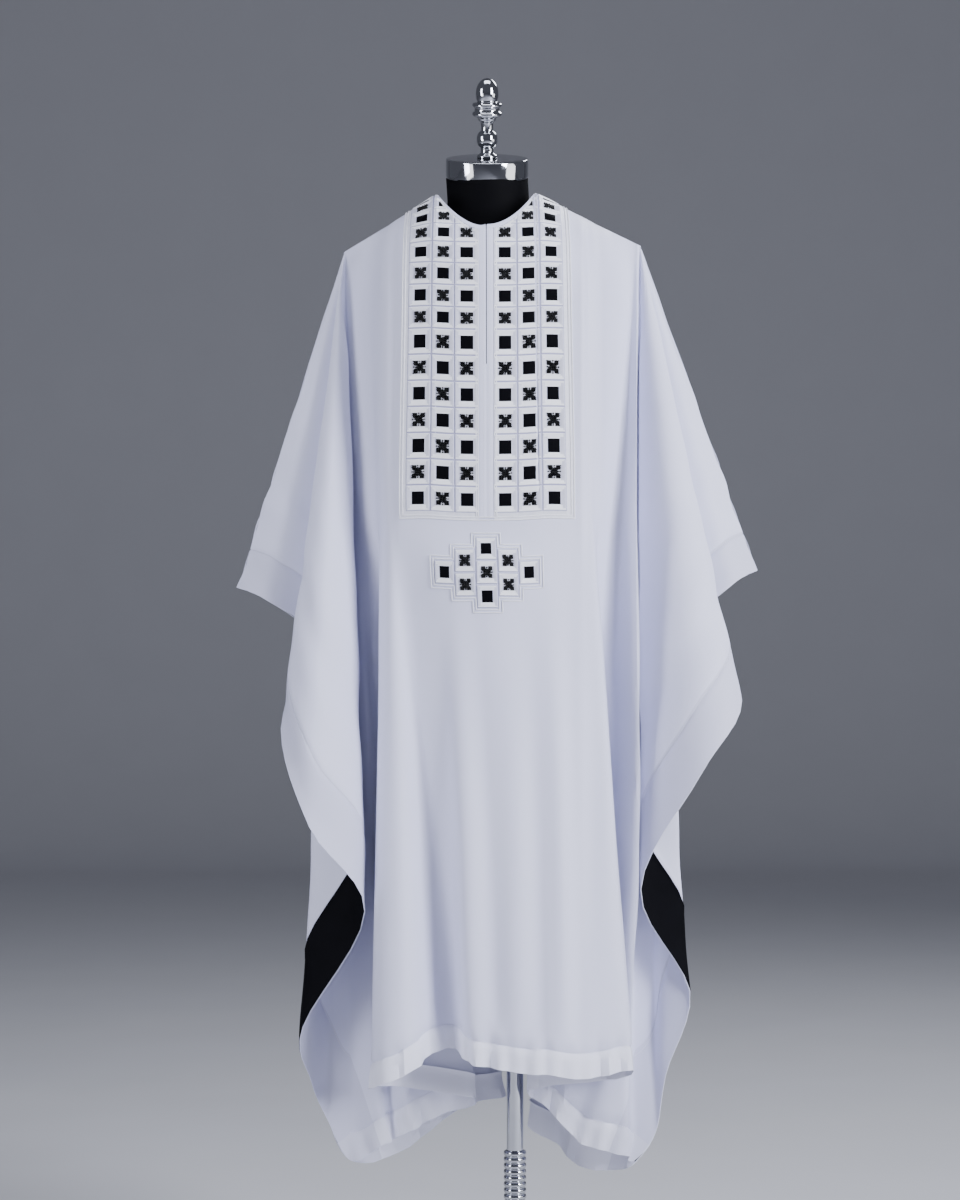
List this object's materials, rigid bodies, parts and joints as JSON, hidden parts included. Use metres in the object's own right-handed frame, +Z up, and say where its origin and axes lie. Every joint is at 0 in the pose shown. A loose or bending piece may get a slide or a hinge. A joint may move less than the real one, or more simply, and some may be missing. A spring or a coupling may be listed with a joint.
{
  "type": "grand boubou robe on a dress form stand",
  "caption": "White grand boubou robe with checked chest embroidery, draped on a black limbless dress form on a chrome pole stand.",
  "frame": {"origin": "on the floor, at the middle of the base plate's flat underside, on the pole's axis", "axes": "+Z up along the pole; the robe's front looks along -Y; +X is to the right as seen from the front"},
  "size_m": [0.7782, 0.35, 1.8718],
  "materials": {
    "white_suiting": "smooth white suiting with a soft cool sheen",
    "embroidery": "raised white satin thread with black squares and black beads",
    "black_facing": "matte black cloth",
    "black_jersey": "tight black jersey cover",
    "chrome": "polished chrome"
  },
  "bodies": {
    "base": {"base_plate": "chrome", "lower_tube": "chrome", "ribbed_collar": "chrome"},
    "form": {"upper_pole": "chrome", "pole_socket": "chrome", "form_torso": "black_jersey", "neck_cap": "chrome", "finial": "chrome", "front_panel": "white_suiting", "back_panel": "white_suiting", "neck_binding_left": "white_suiting", "neck_binding_right": "white_suiting", "neck_binding_back": "white_suiting", "placket": "white_suiting", "chest_embroidery_left": "embroidery", "chest_embroidery_right": "embroidery", "lower_motif": "embroidery", "facing_front_left": "black_facing", "facing_front_right": "black_facing", "facing_back_left": "black_facing", "facing_back_right": "black_facing"}
  },
  "joints": [
    {"name": "height_slide", "type": "slide", "parent": "base", "child": "form", "axis": [0, 0, 1], "range_m": [-0.1, 0.03]}
  ]
}
